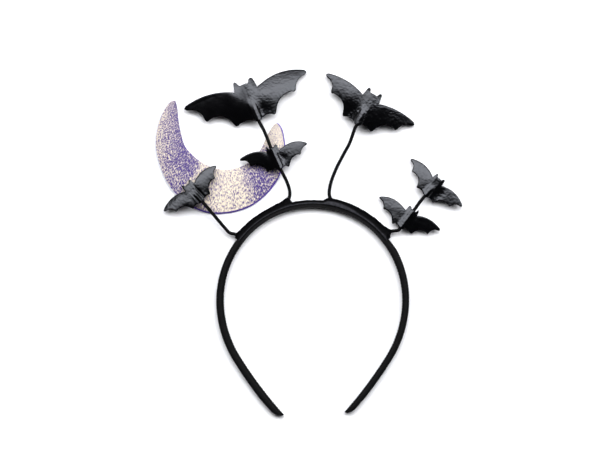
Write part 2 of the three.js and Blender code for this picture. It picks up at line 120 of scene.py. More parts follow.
def make_skin(name, rings, uv, marks=None):
    """A closed mesh from rings of points: quads between neighbouring rings, and at each end a strip of
    quads between the two halves of the last ring. Faces are turned round if the volume is below zero.
    Marks are further values at the points, for the materials."""
    count, size = rings.shape[:2]
    ring, side = np.meshgrid(np.arange(count - 1), np.arange(size), indexing="ij")
    after = (side + 1) % size
    walls = np.stack([ring * size + side, ring * size + after,
                      (ring + 1) * size + after, (ring + 1) * size + side], axis=-1).reshape(-1, 4)
    wall_uv = np.stack([uv[ring, side], uv[ring, side + 1],
                        uv[ring + 1, side + 1], uv[ring + 1, side]], axis=2).reshape(-1, 4, 2)
    near = np.arange(size // 2 - 1)
    strip = np.stack([near, size - 1 - near, size - 2 - near, near + 1], axis=-1)
    quads = np.concatenate([walls, strip, strip[:, ::-1] + (count - 1) * size])
    corner_uv = np.concatenate([wall_uv, uv[0][strip], uv[-1][strip[:, ::-1]]])
    points = rings.reshape(-1, 3)
    a, b, c, d = (points[quads[:, corner]] for corner in range(4))
    volume = (np.cross(a, b) * c).sum() + (np.cross(a, c) * d).sum()
    if volume < 0:
        quads = quads[:, ::-1]
        corner_uv = corner_uv[:, ::-1]
    mesh = bpy.data.meshes.new(name)
    mesh.from_pydata(((points - FRAME_ORIGIN) * MM).tolist(), [], quads.tolist())
    mesh.uv_layers.new(name="surface").data.foreach_set("uv", corner_uv.astype(np.float32).ravel())
    mesh.polygons.foreach_set("use_smooth", np.ones(len(quads), dtype=bool))
    for mark, values in (marks or {}).items():
        attribute = mesh.attributes.new(mark, "FLOAT", "POINT")
        attribute.data.foreach_set("value", values.astype(np.float32).ravel())
    mesh.update()
    piece = bpy.data.objects.new(name, mesh)
    bpy.context.scene.collection.objects.link(piece)
    return piece


def surface_uv(along, around):
    """UV in metres: the length along a piece for each ring, and the length round it for each point."""
    u, v = np.meshgrid(along * MM, around * MM, indexing="ij")
    return np.stack([u, v], axis=-1)


class Nodes:
    """A node tree, with short ways to add nodes and links to it."""

    def __init__(self, tree):
        self.tree = tree

    def add(self, kind, values=None, **settings):
        node = self.tree.nodes.new(kind)
        for key, value in settings.items():
            setattr(node, key, value)
        for socket, value in (values or {}).items():
            self.put(node.inputs[socket], value)
        return node

    def put(self, socket, value):
        if isinstance(value, bpy.types.NodeSocket):
            self.tree.links.new(value, socket)
        else:
            socket.default_value = value

    def math(self, operation, *values):
        node = self.add("ShaderNodeMath", operation=operation)
        for socket, value in zip(node.inputs, values):
            self.put(socket, value)
        return node.outputs["Value"]

    def mix(self, share, first, second):
        node = self.add("ShaderNodeMix", data_type="RGBA")
        sockets = (node.inputs[0], node.inputs[6], node.inputs[7])
        for socket, value in zip(sockets, (share, first, second)):
            self.put(socket, value)
        return node.outputs[2]

    def noise(self, scale, detail, roughness, vector):
        values = {"Scale": scale, "Detail": detail, "Roughness": roughness, "Vector": vector}
        return self.add("ShaderNodeTexNoise", values).outputs["Fac"]

    def parts(self, vector):
        return self.add("ShaderNodeSeparateXYZ", {"Vector": vector}).outputs


class Finish(Nodes):
    """A new node material with one Principled shader. The pitches of a weave are in metres."""

    def __init__(self, name):
        self.material = bpy.data.materials.new(name)
        self.material.use_nodes = True
        super().__init__(self.material.node_tree)
        self.shader = self.tree.nodes["Principled BSDF"]

    def place(self):
        return self.add("ShaderNodeTexCoord").outputs["Object"]

    def surface(self):
        return self.add("ShaderNodeTexCoord").outputs["UV"]

    def mark(self, name):
        return self.add("ShaderNodeAttribute", attribute_name=name).outputs["Fac"]

    def weave(self, ribs, threads, slant, wander):
        values = {"Surface": self.surface(), "Ribs": TURN / ribs, "Threads": TURN / threads,
                  "Slant": slant, "Wander": wander}
        outputs = self.add("ShaderNodeGroup", values, node_tree=ribbed_cloth).outputs
        return outputs["Height"], outputs["Uneven"]

    def bump(self, height, distance, strength):
        values = {"Height": height, "Distance": distance, "Strength": strength}
        return self.add("ShaderNodeBump", values).outputs["Normal"]

    def shade(self, **values):
        for socket, value in values.items():
            self.put(self.shader.inputs[socket.replace("_", " ")], value)


def ribbed_cloth_group():
    """Woven ribs for satin, ribbon and thread: a rounded wave across the length of a piece, shifted a
    little by noise so that no two ribs are quite alike, and crossed by a finer wave."""
    group = bpy.data.node_groups.new("ribbed_cloth", "ShaderNodeTree")
    socket = group.interface.new_socket
    socket("Surface", in_out="INPUT", socket_type="NodeSocketVector")
    for name in ("Ribs", "Threads", "Slant", "Wander"):
        socket(name, in_out="INPUT", socket_type="NodeSocketFloat")
    for name in ("Height", "Uneven"):
        socket(name, in_out="OUTPUT", socket_type="NodeSocketFloat")
    cloth = Nodes(group)
    given = cloth.add("NodeGroupInput").outputs
    uneven = cloth.noise(420.0, 3.0, 0.5, given["Surface"])
    parts = cloth.parts(given["Surface"])
    wander = cloth.math("MULTIPLY", cloth.math("SUBTRACT", uneven, 0.5), given["Wander"])
    slanted = cloth.math("MULTIPLY_ADD", parts["Y"], given["Slant"], parts["X"])
    ribs = cloth.math("SINE", cloth.math("ADD", cloth.math("MULTIPLY", slanted, given["Ribs"]), wander))
    threads = cloth.math("SINE", cloth.math("MULTIPLY", parts["Y"], given["Threads"]))
    height = cloth.math("MULTIPLY_ADD", threads, 0.3, ribs)
    height = cloth.math("MULTIPLY_ADD", height, 0.38, 0.5)
    cloth.add("NodeGroupOutput", {"Height": height, "Uneven": uneven})
    return group


ribbed_cloth = ribbed_cloth_group()


def satin_finish():
    """Black satin: fine ribs across the band and patches that are a little duller. A painted highlight
    makes the ribs paler where the band is marked with painted sheen."""
    satin = Finish("black_satin")
    height, uneven = satin.weave(ribs=0.00085, threads=0.0004, slant=0.35, wander=2.2)
    # Painted highlight: where the band carries painted sheen, its colour is mixed towards the paler grey
    # below, more on the ribs.
    lit = satin.math("MULTIPLY", satin.math("MULTIPLY_ADD", height, 0.6, 0.4), satin.mark("painted_sheen"))
    satin.shade(Base_Color=satin.mix(lit, (0.0006, 0.0006, 0.0008, 1), (0.03, 0.0292, 0.03, 1)),
                Roughness=satin.math("MULTIPLY_ADD", uneven, 0.15, 0.2),
                Normal=satin.bump(height, 0.00007, 0.8), Specular_IOR_Level=0.03)
    return satin.material


def make_band():
    """A rounded-square section carried along the inner edge, from the left tip to the right one."""
    share = np.linspace(BAND_ROWS[0, 0], BAND_ROWS[-1, 0], BAND_STATIONS)
    share = np.sort(np.concatenate([share, TIP_STATIONS]))
    along = share * HALF_BAND
    thick = np.interp(share, BAND_ROWS[:, 0], BAND_ROWS[:, 1])[:, None]
    depth = np.interp(share, BAND_ROWS[:, 0], BAND_ROWS[:, 2])[:, None]
    down = np.clip((np.abs(along) - ARM_START) / (HALF_BAND - ARM_START), 0, 1)[:, None]
    middle = CROWN_MIDDLE + (TIP_MIDDLE - CROWN_MIDDLE) * down
    angle = np.linspace(0, TURN, BAND_SIDES, endpoint=False) + np.pi / BAND_SIDES
    cosine = np.sign(np.cos(angle)) * np.abs(np.cos(angle)) ** BAND_SQUARENESS
    sine = np.sign(np.sin(angle)) * np.abs(np.sin(angle)) ** BAND_SQUARENESS
    drift = PUCKER_DRIFT * np.sin(along / PUCKER_DRIFT_LENGTH)
    wave = np.sin(TURN * along / PUCKER_PITCH + drift)[:, None]
    pucker = PUCKER_HEIGHT * wave * (PUCKER_MEAN - PUCKER_LEAN * np.cos(angle))
    pucker = pucker * np.minimum(thick / BAND_DEPTH, 1)
    out = thick / 2 + (thick / 2 + pucker) * cosine
    rings = beside_band(along[:, None], out, middle + (depth / 2 + pucker) * sine)
    around = np.linspace(0, BAND_ROUND, BAND_SIDES + 1)
    # Painted sheen, as highlights in the satin's colour: on top of the arms, and in a strip beside the
    # ribbon at the crown.
    at_crown = np.clip((CROWN_STRIP_END - np.abs(along)) / CROWN_STRIP_FADE, 0, 1)[:, None]
    strip = np.exp(-((out - STRIP_MIDDLE) / STRIP_WIDTH) ** 2) * (sine > 0)
    arm = ARM_PAINTED_SHEEN * np.clip(np.sin(angle), 0, 1) ** ARM_PAINTED_SHEEN_POWER
    painted_sheen = (1 - at_crown) * arm + at_crown * CROWN_PAINTED_SHEEN * strip
    return make_skin("satin_band", rings, surface_uv(along, around), {"painted_sheen": painted_sheen})


band = make_band()
band.data.materials.append(satin_finish())
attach(band, "root")
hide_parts("headband")

# Bats
# Each bat is two sheets of grained leather cloth, die-cut to one outline and glued back to back round a
# wire. Both sheets stand off the wire like low roofs, and the wings are pressed down on either side.
TRAILING_START = 0.02
LEADING_START = 0.985
# Share of the span, share of the length, bow of the arc towards the head, steps.
# No length: the wing's own finger. No bow: the wing's own lead.
TRAILING_EDGE = (
    (0.27, 0.07, 0.14, 6), (0.34, 0.075, -0.32, 2), (0.68, None, 0.2, 3), (0.752, None, -0.32, 2),
    (0.97, 0.745, 0.2, 4), (1, 0.79, 0, 1),
)
LEADING_EDGE = (
    (0.056, 0.965, 0, 1), (0.09, 1.05, -0.1, 3), (0.164, 1.035, 0.42, 2), (0.144, 0.8, 0, 3),
    (0.975, 0.86, None, 8), (1, 0.81, 0, 1),
)
# What a finger's round end stands out by, as a share of the length.
FINGER_ROUND = 0.035
# Points for each step of an edge, and how often the corners of each edge are rounded.
FINE = 4
TRAILING_PASSES = 2
LEADING_PASSES = 1
# Shares of the span over which an edge takes on its lean.
LEAN_START = 0.05
LEAN_FULL = 0.3
# Share of the length at which a wire ends in its last bat.
WIRE_END = 0.25
# Half width of the strip over the wire, rise and bend of the roof there, rounding of its crest, and the
# shares of the length between which it runs out on a bat at the end of a wire.
RIDGE_FOOT = 2.0
RIDGE_RISE = 1.35
RIDGE_BEND = 1.5
CREST_ROUND = 0.2
RIDGE_END = 0.3
RIDGE_GONE = 0.66
RIDGE_STATIONS = 8
POINTS_PER_MM = 2.6
# How much of a wing's fall is straight, the curl of its edges and the share of the span at which it is
# full, and the valley's place on the span and the shares of the length between which it runs out.
FALL_STRAIGHT = 0.6
WING_DOME = 0.035
DOME_FULL = 0.25
VALLEY_PLACE = 0.12
VALLEY_END = 0.35
VALLEY_GONE = 0.8
SHEET = 1.1
# Distance of a sheet from the glue plane, and depth and width of the rounding at its cut edge.
HALF_GLUE = 0.05
CUT_DEPTH = 0.3
CUT_WIDTH = 0.4
# Wrinkles, loose and in dents, and a slow wave over the whole sheet. Wrinkles and dents grow from the
# ridge and are full at a share of the span.
LOOSE_WRINKLE = 0.012
DENT_WRINKLE = 0.04
WRINKLE_PITCH = 2.8
WRINKLE_WAVES = 11
WRINKLE_SEED = 20
WRINKLE_FULL = 0.1
DENT_FULL = 0.04
WAVE = 0.03
WAVE_PITCH = 9.0
# Roof is how far the roof over the wire runs out, and grain is how coarse the wing's grain is.
WING = ("span", "sweep", "lead", "finger", "fall", "valley", "twist", "roof", "grain")
# Tail, heading from +Y towards +X, length, height of the wire at the tail, its rise to the head, the
# share of the ridge that is left at the head, how far the head hangs, and the values of both wings.
BATS = {
    "big_left": dict(
        tail=(-39.1, 131.2), heading=-23, length=29.4, height=8.2, rise=0.6, head_ridge=0, droop=1.6,
        left=(48, 0.12, 0.1, 0.35, 6, 0.3, -0.25, 7.6, 0.3),
        right=(45.2, -0.08, 0.125, 0.42, 4.2, 0.2, 0.13, 6.4, 1)),
    "big_right": dict(
        tail=(31.5, 128), heading=29, length=26.1, height=10.2, rise=1.6, head_ridge=0, droop=1.6,
        left=(37.5, 0.03, 0.085, 0.42, 8.4, 0.2, -0.13, 5.6, 1),
        right=(36.4, 0, 0.075, 0.41, 9.2, 0.4, -0.12, 4.6, 1.3)),
    "small_left": dict(
        tail=(-80.1, 72.7), heading=-42, length=17.1, height=8.4, rise=0.8, head_ridge=0, droop=2.8,
        left=(25.5, 0, 0.135, 0.42, 2.2, 0, 0.09, 5, 1),
        right=(24.7, -0.04, 0.15, 0.42, 2.6, 0.2, -0.12, 2, 1)),
    "small_centre": dict(
        tail=(-23.4, 96.3), heading=-24.5, length=17, height=8, rise=0.4, head_ridge=1, droop=0,
        left=(26, 0.18, 0.115, 0.42, 2.6, 0.2, -0.19, 4.4, 0.3),
        right=(25.1, -0.18, 0.145, 0.42, 3.2, 0.4, 0.06, 4.4, 1)),
    "small_right_upper": dict(
        tail=(81.1, 76.9), heading=40, length=16.8, height=6.6, rise=0.6, head_ridge=0, droop=0.2,
        left=(25.3, 0.03, 0.135, 0.42, 4, 0.2, 0.1, 4.4, 1),
        right=(25.3, -0.08, 0.135, 0.42, 0.8, 0.6, 0.03, 3.4, 1)),
    "small_right_lower": dict(
        tail=(63.2, 53.6), heading=37.5, length=16.4, height=5.6, rise=0.6, head_ridge=1, droop=0,
        left=(25.5, -0.17, 0.14, 0.42, 3, 0.2, 0.09, 4.3, 1),
        right=(25.2, 0.13, 0.12, 0.38, 3.2, 0.2, -0.16, 4.3, 0.8)),
}
# Dents and bulges pressed into a bat: across and along its axis, half widths both ways,
# height, wrinkling.
DENTS = {
    "big_left": ((6.4, 3.4, 8, 7, -1.8, 0.8), (14, 17, 8, 6, 0.2, 0), (46, 31, 15, 10, -1.4, 0)),
    "big_right": ((-7.4, 3.4, 7, 6.5, -1.5, 1.2), (-15, 15, 8, 6, 0.2, 0), (9, 6, 9, 7, -0.2, 0.3)),
    "small_left": ((3, 5, 1.2, 5, -1.2, 0), (-6, 0, 6, 7, 1.3, 0), (8, 2, 5, 7, 0.5, 0)),
    "small_centre": ((3.4, 9.2, 1.7, 2.2, -0.5, 0.4), (5.8, 6.2, 1.9, 2.2, -0.5, 0.4)),
    "small_right_upper": ((7.4, 6.5, 3.6, 9, -1.3, 0.6),),
    "small_right_lower": ((-5.4, 5.4, 2.0, 2.2, -0.1, 0.1),),
}


def smooth_step(value, low, high):
    """From 0 at low to 1 at high along a smooth S."""
    share = np.clip((value - low) / (high - low), 0, 1)
    return share * share * (3 - 2 * share)


def of_wing(name, key, across):
    """A value of a bat's wings: the right wing's where across is above zero, and else the left one's."""
    place = WING.index(key)
    return np.where(across > 0, BATS[name]["right"][place], BATS[name]["left"][place])


def wing_edge(name, side, rows, start, passes):
    """An edge of a wing from the foot of the ridge to the tip. Each row ends an arc, which rises from its
    chord by bow times four times the share along it times the rest. Each pass rounds the corners by a
    mean of neighbouring points. Wings that sweep opposite ways turn the outline on the wire, so the edge
    also leans from the ridge."""
    length = BATS[name]["length"]
    span, sweep, lead, finger = (of_wing(name, key, side) for key in ("span", "sweep", "lead", "finger"))
    lean = side * (of_wing(name, "sweep", -1) - of_wing(name, "sweep", 1)) / 2
    stop = np.array([RIDGE_FOOT, start * length])
    line = [stop[None]]
    for row_span, row_length, bow, steps in rows:
        along = (finger + FINGER_ROUND if row_length is None else row_length) * length
        chord = np.array([row_span * span, along + row_span * sweep * span]) - stop
        share = np.linspace(0, 1, steps * FINE + 1)[1:, None]
        rise = np.array([-chord[1], chord[0]]) * np.sign(chord[0]) * (lead if bow is None else bow)
        line.append(stop + share * chord + 4 * share * (1 - share) * rise)
        stop = stop + chord
    edge = np.concatenate(line)
    edge[:, 0] += lean * (edge[:, 1] - length / 2) * smooth_step(edge[:, 0] / span, LEAN_START, LEAN_FULL)
    for _ in range(passes):
        edge[1:-1] = (edge[:-2] + 2 * edge[1:-1] + edge[2:]) / 4
    return edge


def glue_plane(name, across, along):
    """Height between a bat's two sheets: the wire's height less the fall of the wing, the valley beside
    the ridge, the curl and twist of its edges and the droop of the head, with the bat's own dents and
    wrinkles. Also how coarse the grain is."""
    bat = BATS[name]
    keys = ("span", "fall", "valley", "twist", "grain")
    span, fall, valley, twist, grain = (of_wing(name, key, across) for key in keys)
    out = np.maximum(np.abs(across) - RIDGE_FOOT, 0) / span
    wire = bat["height"] + bat["rise"] * along / bat["length"]
    drop = fall * (FALL_STRAIGHT * out + (1 - FALL_STRAIGHT) * out ** 2)
    valley_left = 1 - smooth_step(along / bat["length"], VALLEY_END, VALLEY_GONE)
    drop += valley * valley_left * out / VALLEY_PLACE * np.exp(1 - out / VALLEY_PLACE)
    middle = along - bat["length"] / 2
    curl = 4 * WING_DOME * middle ** 2 / bat["length"] + twist * middle
    past_wire = np.clip((along / bat["length"] - WIRE_END) / (1 - WIRE_END), 0, 1)
    drop += curl * smooth_step(out, 0, DOME_FULL) + bat["droop"] * past_wire ** 2
    wrinkled = np.zeros_like(across)
    for at_across, at_along, wide, long, depth, wrinkling in DENTS[name]:
        near = np.exp(-((across - at_across) / wide) ** 2 - ((along - at_along) / long) ** 2)
        drop = drop - depth * near * smooth_step(out, 0, DENT_FULL)
        wrinkled = wrinkled + wrinkling * near
    place = np.stack([across, along], axis=-1)
    seed = list(BATS).index(name)
    height = LOOSE_WRINKLE + DENT_WRINKLE * wrinkled
    wrinkle = height * ripples(place, WRINKLE_PITCH, seed + WRINKLE_SEED, WRINKLE_WAVES)
    drop += wrinkle * smooth_step(out, 0, WRINKLE_FULL) + WAVE * ripples(place, WAVE_PITCH, seed)
    return wire - drop, grain * (1 + wrinkled)


def ridge(name, across, along):
    """How far each sheet stands off the glue plane, over or under the wire: a roof with a slightly
    rounded crest that levels off on its way out. On a bat at the end of a wire it runs out towards the
    head."""
    bat = BATS[name]
    reach = of_wing(name, "roof", across)
    from_crest = np.hypot(across, CREST_ROUND) - CREST_ROUND
    slope = np.clip(1 - from_crest / reach, 0, 1) ** RIDGE_BEND
    past_end = smooth_step(along / bat["length"], RIDGE_END, RIDGE_GONE)
    return RIDGE_RISE * slope * (1 + (bat["head_ridge"] - 1) * past_end)


def beside_bat(name, across, along, up):
    """Points at a distance across a bat's axis, a length along it from the tail, and a height."""
    tail_x, tail_y = BATS[name]["tail"]
    turn = np.radians(BATS[name]["heading"])
    x = tail_x + along * np.sin(turn) + across * np.cos(turn)
    y = tail_y + along * np.cos(turn) - across * np.sin(turn)
    return np.stack([x, y, up], axis=-1)


def flat_measures(outline):
    """Flat size and area of a sheet with this outline, in metres. The area is half the sum of the cross
    products of neighbouring corners."""
    after = np.roll(outline, -1, axis=0)
    area = abs((outline[:, 0] * after[:, 1] - outline[:, 1] * after[:, 0]).sum()) / 2
    return np.ptp(outline, axis=0) * MM, area * MM ** 2


def make_bat_sheet(name, is_front):
    """One sheet as rings round its chords, which run from the trailing to the leading edge, from tip to
    tip. A ring goes along the upper skin and back along the lower one, and the outer skin rounds off at
    the cut. Also the sheet's flat size and area."""
    length = BATS[name]["length"]
    on_ridge = np.linspace(0, RIDGE_FOOT, RIDGE_STATIONS)[:-1]
    starts, ends = [], []
    for side in (-1, 1):
        tail = np.stack([on_ridge, TRAILING_START * length * (on_ridge / RIDGE_FOOT) ** 2], axis=-1)
        head = np.stack([on_ridge, np.full_like(on_ridge, length * LEADING_START)], axis=-1)
        back = wing_edge(name, side, TRAILING_EDGE, TRAILING_START, TRAILING_PASSES)
        front = wing_edge(name, side, LEADING_EDGE, LEADING_START, LEADING_PASSES)
        starts.append(np.concatenate([tail, back]) * (side, 1))
        ends.append(np.concatenate([head, front]) * (side, 1))
    trailing = np.concatenate([starts[0][:0:-1], starts[1]])
    leading = np.concatenate([ends[0][:0:-1], ends[1]])
    share = (1 - np.cos(np.linspace(0, np.pi, int(POINTS_PER_MM * length)))) / 2
    chord = leading - trailing
    flat = trailing[:, None] + share[:, None] * chord[:, None]
    across, along = flat[..., 0], flat[..., 1]
    to_edge = np.linalg.norm(chord, axis=-1)[:, None] * np.minimum(share, 1 - share)
    round_off = CUT_DEPTH * np.exp(-(to_edge / CUT_WIDTH) ** 2)
    base, grain = glue_plane(name, across, along)
    apart = HALF_GLUE + ridge(name, across, along)
    if is_front:
        low = base + apart
        high = low + SHEET - round_off
    else:
        high = base - apart
        low = high - SHEET + round_off
    upper = beside_bat(name, across, along, high)
    lower = beside_bat(name, across, along, low)[:, ::-1]
    uv = np.concatenate([flat, flat[:, ::-1], flat[:, :1]], axis=1) * MM
    marks = {"grain": np.concatenate([grain, grain[:, ::-1]], axis=1)}
    rings = np.concatenate([upper, lower], axis=1)
    piece = make_skin(f"{name}_{'front' if is_front else 'back'}_sheet", rings, uv, marks)
    return piece, *flat_measures(np.concatenate([trailing, leading[::-1]]))


def leather_finish():
    """Black leather cloth: a grain of about 1.5 mm, deeper where the cloth is wrinkled, and patches that
    are a little glossier."""
    cloth = Finish("grained_leather_cloth")
    creases = cloth.noise(640.0, 1.0, 0.45, cloth.place())
    patches = cloth.noise(160.0, 3.0, 0.55, cloth.place())
    grain = cloth.math("MULTIPLY", creases, cloth.mark("grain"))
    cloth.shade(Base_Color=cloth.mix(patches, (0.0008, 0.0008, 0.001, 1), (0.0018, 0.0018, 0.0022, 1)),
                Roughness=cloth.math("MULTIPLY_ADD", patches, 0.1, 0.15),
                Normal=cloth.bump(grain, 0.00021, 1.0),
                Specular_Tint=(0.9, 0.93, 1.0, 1), Specular_IOR_Level=0.41)
    return cloth.material


leather = leather_finish()
for bat_name in BATS:
    for sheet_side in ("front", "back"):
        sheet, flat_size, flat_area = make_bat_sheet(bat_name, sheet_side == "front")
        sheet.data.materials.append(leather)
        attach(sheet, "root")
        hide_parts(f"{bat_name}_{sheet_side}")

# Wires
# Two bendable wires wound with black thread. Each runs from the last bat on one stalk down to the crown,
# along the outside of the crown under the ribbon, and up the next stalk to its last bat.
WIRE_SIDES = 14
# Points on the arc between two points of a route.
ARC_POINTS = 24
# Radius of the wire and of the thread round it, pitch of the thread, steps for each pitch, and depth
# between two turns.
WIRE_RADIUS = 1.0
THREAD_RADIUS = 1.28
THREAD_PITCH = 0.75
THREAD_STEPS = 6
THREAD_DEPTH = 0.1


def along_bat(name, *shares):
    """Points of the wire on a bat's axis, at shares of its length from the tail."""
    bat = BATS[name]
    shares = np.array(shares)
    return beside_bat(name, 0, shares * bat["length"], bat["height"] + bat["rise"] * shares)


def along_crown(*rows):
    """Points of the wire beside the crown, from rows of length along it and distance out from its inner
    edge."""
    rows = np.array(rows)
    return beside_band(rows[:, 0], rows[:, 1], np.full(len(rows), CROWN_MIDDLE))


LEFT_ROUTE = np.concatenate([
    along_bat("small_left", WIRE_END, 0, -0.12),
    [(-75.4, 67.3, 7.7), (-69, 59.7, 6.4), (-64.6, 54.5, 5.3), (-60.7, 50.4, 4.5)],
    along_crown((-57.8, 9.4), (-56.2, 6.6), (-54, 5.4), (-50, 5.2), (-42, 5.2)),
    along_crown((-34, 5.2), (-27, 5.2), (-21.5, 5.4), (-17.8, 6.4), (-15.6, 8.8)),
    [(-16.8, 78.4, 4.5), (-17.3, 82.4, 5.1), (-19.6, 88.6, 6.5)],
    along_bat("small_centre", -0.12, 0, 0.3, 0.7, 1, 1.12),
    [(-33.4, 119.4, 8.4), (-36, 125.2, 8.3)],
    along_bat("big_left", -0.06, 0, WIRE_END),
])
RIGHT_ROUTE = np.concatenate([
    along_bat("big_right", WIRE_END, 0, -0.08),
    [(26.2, 114.6, 8.6), (22.4, 107.6, 7.6), (18.4, 100, 6.6), (15.4, 93.4, 5.8), (12.8, 86, 5)],
    [(11.8, 79.6, 4.5)],
    along_crown((10.8, 8.9), (12.6, 7.2), (15.6, 6.4), (21, 6.2), (28, 6.2)),
    along_crown((35, 6.2), (42, 6.2), (49, 6.3), (53, 7.1), (55.5, 9.2)),
    [(59.3, 51.7, 4.7)],
    along_bat("small_right_lower", -0.1, 0, 0.3, 0.7, 1, 1.12),
    [(77.4, 72.4, 6.4)],
    along_bat("small_right_upper", -0.12, 0, WIRE_END),
])


def smooth_path(route, spacing):
    """A smooth line through the route's points, evenly spaced: cubic arcs whose slopes come from the
    points on either side, each weighed by the square root of its distance."""
    padded = np.concatenate([2 * route[:1] - route[1:2], route, 2 * route[-1:] - route[-2:-1]])
    step = np.sqrt(np.linalg.norm(np.diff(padded, axis=0), axis=1))[:, None]
    slope = np.diff(padded, axis=0) / step
    across = (padded[2:] - padded[:-2]) / (step[:-1] + step[1:])
    tangent = slope[:-1] - across + slope[1:]
    t = np.linspace(0, 1, ARC_POINTS, endpoint=False)[None, :, None]
    p, q = route[:-1, None], route[1:, None]
    m, n = (tangent[:-1] * step[1:-1])[:, None], (tangent[1:] * step[1:-1])[:, None]
    arcs = (2 * t**3 - 3 * t**2 + 1) * p + (t**3 - 2 * t**2 + t) * m
    arcs = arcs + (3 * t**2 - 2 * t**3) * q + (t**3 - t**2) * n
    line = np.concatenate([arcs.reshape(-1, 3), route[-1:]])
    length = np.concatenate([[0], np.cumsum(np.linalg.norm(np.diff(line, axis=0), axis=1))])
    even = np.linspace(0, length[-1], int(length[-1] / spacing) + 1)
    return np.stack([np.interp(even, length, line[:, axis]) for axis in range(3)], axis=-1), even


def make_wire(name, route):
    """A round section carried along the route, with its radius drawn in between the turns of a thread
    that winds once round the wire in each pitch."""
    path, along = smooth_path(route, THREAD_PITCH / THREAD_STEPS)
    tangent = np.gradient(path, axis=0)
    tangent /= np.linalg.norm(tangent, axis=1, keepdims=True)
    sideways = np.cross((0, 0, 1), tangent)
    sideways /= np.linalg.norm(sideways, axis=1, keepdims=True)
    upright = np.cross(tangent, sideways)
    angle = np.linspace(0, TURN, WIRE_SIDES, endpoint=False)
    turns = np.pi * along[:, None] / THREAD_PITCH - angle / 2
    radius = THREAD_RADIUS - THREAD_DEPTH * (1 - np.abs(np.cos(turns)))
    spoke = np.cos(angle)[:, None] * sideways[:, None] + np.sin(angle)[:, None] * upright[:, None]
    rings = path[:, None] + radius[..., None] * spoke
    return make_skin(name, rings, surface_uv(along, np.linspace(0, TURN * WIRE_RADIUS, WIRE_SIDES + 1)))


def thread_finish():
    """Black thread: strands that run with the winding, with a dull shine."""
    thread = Finish("black_thread")
    height, uneven = thread.weave(ribs=0.00025, threads=0.0002, slant=-0.12, wander=1.5)
    thread.shade(Base_Color=thread.mix(height, (0.0006, 0.0006, 0.0008, 1), (0.0026, 0.0026, 0.003, 1)),
                 Roughness=thread.math("MULTIPLY_ADD", uneven, 0.2, 0.36),
                 Normal=thread.bump(height, 0.00004, 0.6), Specular_IOR_Level=0.07)
    return thread.material


black_thread = thread_finish()
for wire_name, route in (("wire_left", LEFT_ROUTE), ("wire_right", RIGHT_ROUTE)):
    wire = make_wire(f"thread_{wire_name}", route)
    wire.data.materials.append(black_thread)
    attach(wire, "root")
    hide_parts(wire_name)

# Crown wrap
# A black ribbon folded lengthwise over the outside of the crown, which holds both wires against the band.
# A pale line is painted along its front edge as a highlight, wider in places, and the ribbon stands out
# like a tent where a stalk leaves.
RIBBON = 0.6
RIBBON_ROUND = 16.0
FRONT_EDGE = 3.2
BACK_EDGE = 1.0
# Length along the crown, distance of the fold from the band's inner edge.
WRAP_ROWS = np.array([
    (-59.5, 6.8), (-56.5, 8.6), (-53, 7.8), (-30, 7.6), (-22, 8.2), (-18, 9.6), (-15.8, 10.2),
    (-13.8, 5.9), (6.5, 5.9), (9.8, 8.2), (15, 8.5), (31, 8.5), (50, 8.8), (54, 10), (56, 11.2),
    (57.6, 8), (59.2, 6.8),
])
# Length along the crown, width of the painted highlight along the front edge.
EDGE_HIGHLIGHT_ROWS = np.array([
    (-59.5, 0.6), (-16, 0.7), (-12, 1.3), (7, 1.4), (11, 2.5), (20, 2.4), (33, 0.9), (59.2, 0.7),
])
EDGE_HIGHLIGHT_FADE = 0.5
# Height of the creases, their pitch, how fast they change across the ribbon against along it, seed.
CREASES = ((0.16, 5.0, 0.35, 31), (0.06, 2.0, 1, 32))
# How far creases go out for each step up, and how many times they would fit round the ribbon.
CREASE_OUT = 0.6
CREASE_NARROW = 1.6
# How far the ribbon stands off the band in front, and behind with a gap.
FRONT_LIFT = 0.75
BACK_LIFT = 1.0
GAP = 0.3
WRAP_STATIONS = 420
FOLD_POINTS = 30
BACK_POINTS = 5


def wrap_line(along, inset):
    """The ribbon's line over one section: from its front edge a quarter round over the wire to the fold,
    a quarter round below it, and flat under the band to its back edge. The inset moves it inwards."""
    fold = np.interp(along, WRAP_ROWS[:, 0], WRAP_ROWS[:, 1]) - FRONT_EDGE - inset
    thick = np.interp(along / HALF_BAND, BAND_ROWS[:, 0], BAND_ROWS[:, 1])
    from_middle = np.minimum(2 * FRONT_EDGE / thick - 1, 1)
    band_rise = BAND_DEPTH / 2 * np.sqrt(1 - from_middle ** 2)
    front = band_rise + FRONT_LIFT - inset
    back = BAND_DEPTH / 2 + GAP + BACK_LIFT - inset
    angle = np.linspace(np.pi / 2, -np.pi / 2, FOLD_POINTS)
    depth = np.where(angle > 0, front[:, None], back)
    out = FRONT_EDGE + fold[:, None] * np.cos(angle)
    up = CROWN_MIDDLE + depth * np.sin(angle)
    under = np.linspace(FRONT_EDGE, BACK_EDGE, BACK_POINTS + 1)[1:] * np.ones((len(along), 1))
    out = np.concatenate([out, under], axis=1)
    up = np.concatenate([up, np.full_like(under, CROWN_MIDDLE - back)], axis=1)
    return out, up


